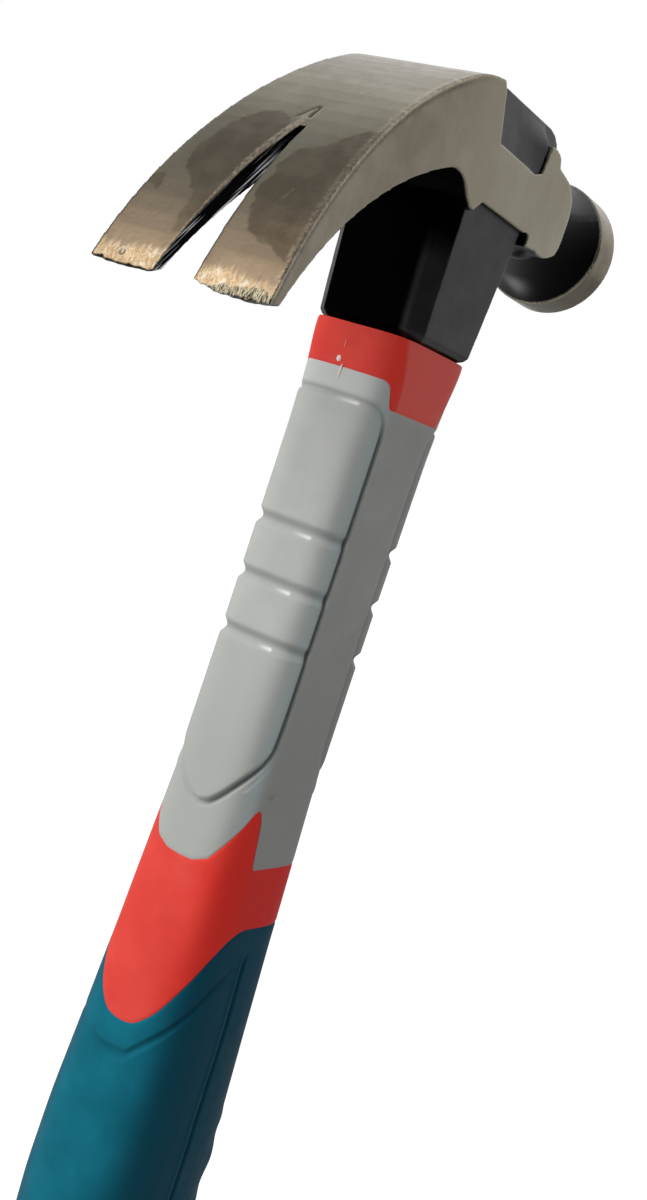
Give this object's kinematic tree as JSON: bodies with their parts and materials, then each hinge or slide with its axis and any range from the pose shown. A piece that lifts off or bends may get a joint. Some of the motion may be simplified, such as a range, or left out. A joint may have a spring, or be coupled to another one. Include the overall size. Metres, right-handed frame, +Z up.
{
  "type": "claw hammer",
  "caption": "Curved-claw hammer with a forged steel head, a bonded fibreglass core and a moulded grey, red and teal handle.",
  "frame": {"origin": "middle of the flat butt face, on the handle's axis", "axes": "+Z up the handle towards the head, +X from the claw towards the striking face, +Y across, so XZ is the hammer's middle plane"},
  "size_m": [0.1294, 0.0396, 0.331],
  "materials": {
    "head_steel": "satin ground steel, black paint on the socket, eye boss and neck",
    "core_composite": "pultruded glass fibre composite",
    "black_resin": "poured resin",
    "jacket_plastic": "moulded rigid plastic",
    "red_rubber": "soft matte moulded rubber",
    "grey_plastic": "fine-grained moulded plastic",
    "teal_rubber": "soft matte moulded rubber",
    "teal_plastic": "moulded rigid plastic"
  },
  "bodies": {
    "root": {"hammer_head": "head_steel", "fibreglass_core": "core_composite", "eye_epoxy": "black_resin", "inner_jacket": "jacket_plastic", "upper_collar": "red_rubber", "grey_sleeve": "grey_plastic", "red_band": "red_rubber", "teal_grip": "teal_rubber", "butt_cap": "teal_plastic"}
  },
  "joints": []
}
